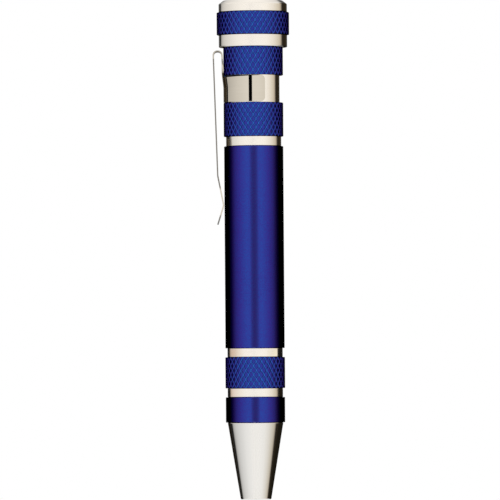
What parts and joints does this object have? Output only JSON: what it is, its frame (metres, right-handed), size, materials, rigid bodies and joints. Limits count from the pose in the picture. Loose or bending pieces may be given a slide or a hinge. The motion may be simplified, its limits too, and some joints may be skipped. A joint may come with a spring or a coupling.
{
  "type": "pocket screwdriver",
  "caption": "Pen-shaped pocket screwdriver with a hexagonal bit socket in its nose, knurled blue collars, a spring clip, a swivel cap and a pull-out magazine of spare bits.",
  "frame": {"origin": "centre of the nose mouth, on the tool's axis", "axes": "+Z along the tool's axis from the nose to the cap, -X towards the clip, -Y towards the front"},
  "size_m": [0.0194, 0.0182, 0.1247],
  "materials": {
    "plated": "bright nickel plate over turned metal, slightly warm",
    "clip": "polished plated spring sheet",
    "blue": "satin blue anodised turning",
    "blue_knurl": "blue anodised diamond knurl",
    "steel": "plain steel",
    "bit_steel": "hardened tool steel",
    "black_plastic": "moulded black plastic",
    "rubber": "matt black rubber"
  },
  "bodies": {
    "handle": {"nose_cone": "plated", "bit_socket": "steel", "socket_magnet": "steel", "core_tube": "plated", "nose_sleeve": "blue", "grip_ring_lower": "plated", "grip_collar": "blue_knurl", "grip_ring_upper": "plated", "barrel_sleeve": "blue", "middle_ring": "plated", "middle_collar": "blue_knurl", "upper_collar": "blue_knurl", "clip_band": "clip"},
    "clip_arm": {"clip_arm": "clip"},
    "magazine": {"magazine_plug": "black_plastic", "plug_o_ring": "rubber", "bit_rack": "black_plastic", "rack_pin": "steel", "swivel_washer": "steel", "swivel_screw": "steel", "bit_slotted_1": "bit_steel", "bit_slotted_2": "bit_steel", "bit_slotted_3": "bit_steel", "bit_slotted_4": "bit_steel", "bit_cross_1": "bit_steel", "bit_cross_2": "bit_steel", "bit_cross_3": "bit_steel", "bit_cross_4": "bit_steel"},
    "swivel_cap": {"cap_base": "plated", "cap_grip_ring": "blue_knurl", "cap_crown": "plated"}
  },
  "joints": [
    {"name": "clip_flex", "type": "hinge", "parent": "handle", "child": "clip_arm", "pos_m": [-0.00903, 0, 0.11225], "axis": [0, 1, 0], "range_deg": [0, 6], "stiffness_Nm_per_rad": 0.35},
    {"name": "magazine_slide", "type": "slide", "parent": "handle", "child": "magazine", "axis": [0, 0, 1], "range_m": [0, 0.072]},
    {"name": "cap_spin", "type": "hinge", "parent": "magazine", "child": "swivel_cap", "pos_m": [0, 0, 0.1176], "axis": [0, 0, 1], "continuous": true}
  ]
}
